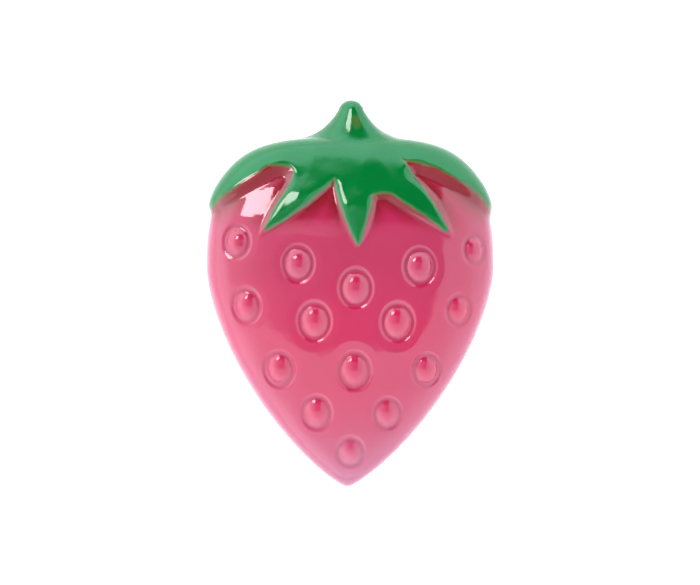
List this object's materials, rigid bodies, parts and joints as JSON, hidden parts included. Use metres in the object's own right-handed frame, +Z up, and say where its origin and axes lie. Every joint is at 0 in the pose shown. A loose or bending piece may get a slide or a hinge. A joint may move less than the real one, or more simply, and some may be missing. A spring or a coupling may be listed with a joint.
{
  "type": "strawberry jelly sweet",
  "caption": "Glossy moulded jelly sweet shaped like a strawberry, pink with raised seeds and a green leaf cap and stem, lying on its flat back.",
  "frame": {"origin": "on the resting plane, under the middle of the sweet", "axes": "+Z up out of the moulded front, +Y from the tip toward the stem, +X to the right as seen from above"},
  "size_m": [0.03, 0.0402, 0.0083],
  "materials": {
    "pink_jelly": "glossy, milky translucent",
    "green_jelly": "glossy, nearly opaque"
  },
  "bodies": {
    "root": {"berry_body": "pink_jelly", "leaf_cap": "green_jelly"}
  },
  "joints": []
}
